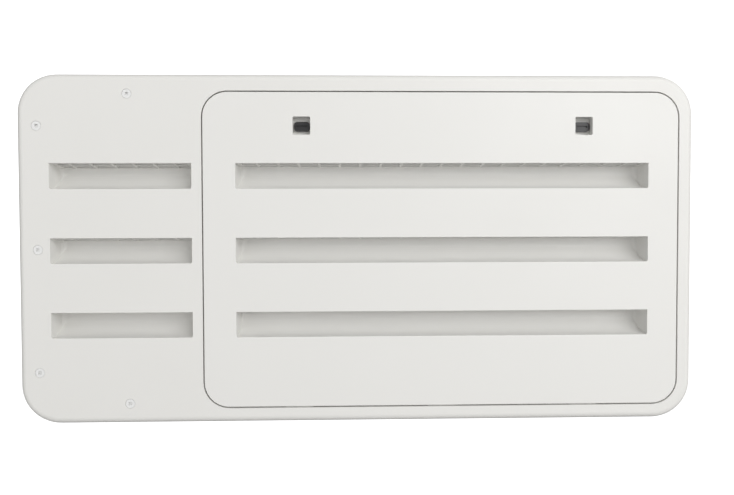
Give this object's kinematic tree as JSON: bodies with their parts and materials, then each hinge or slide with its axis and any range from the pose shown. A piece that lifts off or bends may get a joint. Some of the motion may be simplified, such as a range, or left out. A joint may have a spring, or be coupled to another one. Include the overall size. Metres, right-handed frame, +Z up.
{
  "type": "caravan fridge vent",
  "caption": "Wall vent for a caravan refrigerator: moulded frame with a louvred fixed section and a louvred service door that tilts out and is held by quarter-turn latches.",
  "frame": {"origin": "middle of the plane where the frame's flange meets the wall", "axes": "+X to the right as seen from outside, +Y into the wall, +Z up; the faces look towards -Y"},
  "size_m": [0.61, 0.0342, 0.314],
  "materials": {
    "frame_plastic": "fine satin",
    "door_plastic": "fine satin",
    "latch_plastic": "satin black",
    "painted_screw": "white enamel",
    "zinc_steel": "zinc plated"
  },
  "bodies": {
    "frame": {"frame": "frame_plastic", "mounting_screws_side": "painted_screw", "mounting_screws_ends": "painted_screw", "ledge_screws_top": "painted_screw", "ledge_screws_bottom": "painted_screw", "ledge_screws_right": "painted_screw"},
    "door": {"door": "door_plastic"},
    "latch_left": {"latch_knob_left": "latch_plastic", "latch_cam_left": "latch_plastic", "cam_screw_left": "zinc_steel"},
    "latch_right": {"latch_knob_right": "latch_plastic", "latch_cam_right": "latch_plastic", "cam_screw_right": "zinc_steel"}
  },
  "joints": [
    {"name": "door_tilt", "type": "hinge", "parent": "frame", "child": "door", "pos_m": [0.0753, -0.012, -0.143], "axis": [1, 0, 0], "range_deg": [0, 35]},
    {"name": "latch_left_turn", "type": "hinge", "parent": "door", "child": "latch_left", "pos_m": [-0.0517, -0.012, 0.1108], "axis": [0, 1, 0], "range_deg": [0, 90]},
    {"name": "latch_right_turn", "type": "hinge", "parent": "door", "child": "latch_right", "pos_m": [0.2043, -0.012, 0.1108], "axis": [0, 1, 0], "range_deg": [0, 90]}
  ]
}
